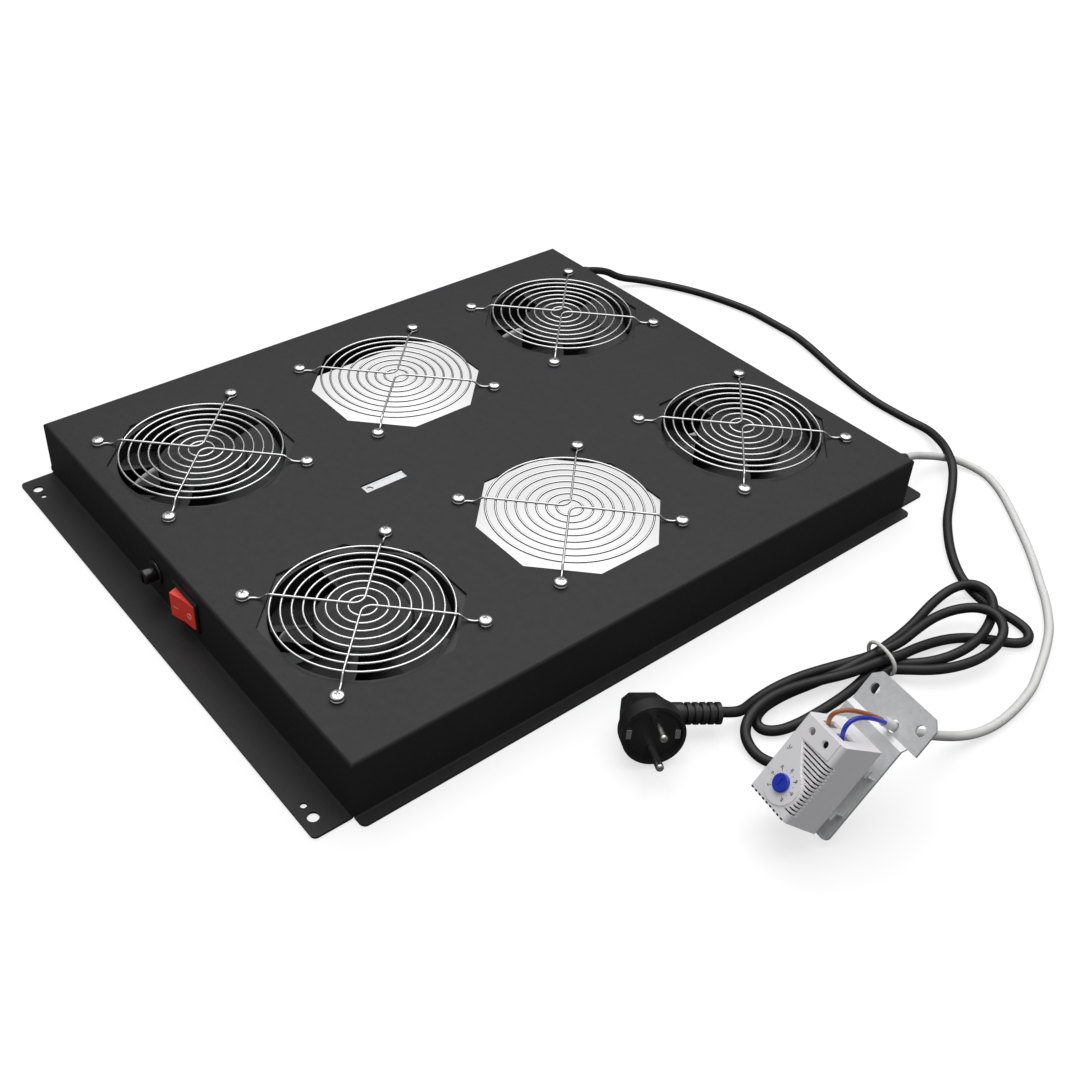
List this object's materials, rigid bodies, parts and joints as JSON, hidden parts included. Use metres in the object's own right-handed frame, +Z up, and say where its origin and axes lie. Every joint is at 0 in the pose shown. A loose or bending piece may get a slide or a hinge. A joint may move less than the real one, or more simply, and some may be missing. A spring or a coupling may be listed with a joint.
{
  "type": "rack fan tray",
  "caption": "Dark sheet-metal fan tray for a rack: grid of fan bays under wire guards, front rocker switch and fuse holder, mains cord with angled plug, and a rail thermostat on its own cord.",
  "frame": {"origin": "centre of the four mounting holes in the end flanges, on the flanges' underside", "axes": "+Z up through the guards, -Y towards the switch and fuse holder, +X to the right as seen from the switches"},
  "size_m": [0.5875, 0.6233, 0.0727],
  "materials": {
    "powder_coat": "fine-textured dark powder coat",
    "fan_frame": "black enamelled die casting",
    "fan_plastic": "satin black glass-filled moulding",
    "motor_metal": "laminated core, dull",
    "guard_wire": "bright nickel-chrome plated wire",
    "screw_bright": "bright plated, cross recess",
    "zinc_steel": "bright zinc",
    "galvanised": "galvanised sheet with faint spangle",
    "light_plastic": "light grey matt moulding",
    "black_plastic": "satin black",
    "rocker_red": "translucent red-orange",
    "tinned_brass": "tinned brass",
    "gloss_black": "polished black moulding",
    "fuse_glass": "clear tube with metal caps",
    "cord_black": "smooth black PVC",
    "cord_white": "smooth white PVC",
    "tie_nylon": "translucent natural nylon",
    "black_rubber": "matt black moulded PVC",
    "nickel": "bright nickel",
    "dial_blue": "blue moulding",
    "insulation_brown": "brown PVC insulation",
    "insulation_blue": "blue PVC insulation"
  },
  "bodies": {
    "tray": {"tray_pan": "powder_coat", "fan_frame_1": "fan_frame", "fan_frame_2": "fan_frame", "fan_frame_3": "fan_frame", "fan_frame_4": "fan_frame", "fan_stators": "motor_metal", "fan_guard_1": "guard_wire", "fan_guard_2": "guard_wire", "fan_guard_3": "guard_wire", "fan_guard_4": "guard_wire", "fan_guard_5": "guard_wire", "fan_guard_6": "guard_wire", "guard_screws": "screw_bright", "guard_nuts": "zinc_steel", "terminal_bracket": "galvanised", "terminal_block": "light_plastic", "terminal_screws": "zinc_steel", "switch_housing": "black_plastic", "switch_tabs": "tinned_brass", "fuse_holder": "gloss_black", "fuse_holder_nut": "black_plastic", "fuse_holder_tabs": "tinned_brass", "mains_cord_gland": "black_plastic", "sensor_cord_gland": "black_plastic", "mains_cord": "cord_black", "mains_cord_hank": "cord_black", "mains_cord_tail": "cord_black", "cord_tie": "tie_nylon", "sensor_cord": "cord_white", "plug_body": "black_rubber", "plug_pins": "nickel", "plug_earth_clips": "nickel", "thermostat_base": "light_plastic", "thermostat_cover": "light_plastic", "thermostat_core": "light_plastic", "thermostat_terminal_screws": "zinc_steel", "thermostat_rail_clip": "light_plastic", "din_rail": "galvanised", "din_rail_rivets": "zinc_steel", "thermostat_bracket": "galvanised", "brown_conductor": "insulation_brown", "blue_conductor": "insulation_blue"},
    "rotor_1": {"fan_rotor_1": "fan_plastic"},
    "rotor_2": {"fan_rotor_2": "fan_plastic"},
    "rotor_3": {"fan_rotor_3": "fan_plastic"},
    "rotor_4": {"fan_rotor_4": "fan_plastic"},
    "rocker": {"switch_rocker": "rocker_red"},
    "fuse_carrier_body": {"fuse_carrier": "tinned_brass", "glass_fuse": "fuse_glass"},
    "fuse_knob": {"fuse_cap": "gloss_black"},
    "dial": {"thermostat_dial": "dial_blue"}
  },
  "joints": [
    {"name": "fan_spin_1", "type": "hinge", "parent": "tray", "child": "rotor_1", "pos_m": [-0.1, -0.164, 0.02], "axis": [0, 0, 1], "continuous": true},
    {"name": "fan_spin_2", "type": "hinge", "parent": "tray", "child": "rotor_2", "pos_m": [0.1, -0.164, 0.02], "axis": [0, 0, 1], "continuous": true},
    {"name": "fan_spin_3", "type": "hinge", "parent": "tray", "child": "rotor_3", "pos_m": [-0.1, 0.164, 0.02], "axis": [0, 0, 1], "continuous": true},
    {"name": "fan_spin_4", "type": "hinge", "parent": "tray", "child": "rotor_4", "pos_m": [0.1, 0.164, 0.02], "axis": [0, 0, 1], "continuous": true},
    {"name": "rocker_tilt", "type": "hinge", "parent": "tray", "child": "rocker", "pos_m": [0.0125, -0.232, 0.0228], "axis": [0, 0, 1], "range_deg": [-26, 0]},
    {"name": "fuse_draw", "type": "slide", "parent": "tray", "child": "fuse_carrier_body", "axis": [0, -1, 0], "range_m": [0, 0.034]},
    {"name": "fuse_knob_turn", "type": "hinge", "parent": "fuse_carrier_body", "child": "fuse_knob", "pos_m": [-0.0285, -0.2395, 0.0228], "axis": [0, 1, 0], "range_deg": [0, 45]},
    {"name": "dial_turn", "type": "hinge", "parent": "tray", "child": "dial", "pos_m": [0.34349, -0.05065, 0.03356], "axis": [-0.2391, -0.7315, 0.6386], "range_deg": [0, 270]}
  ]
}
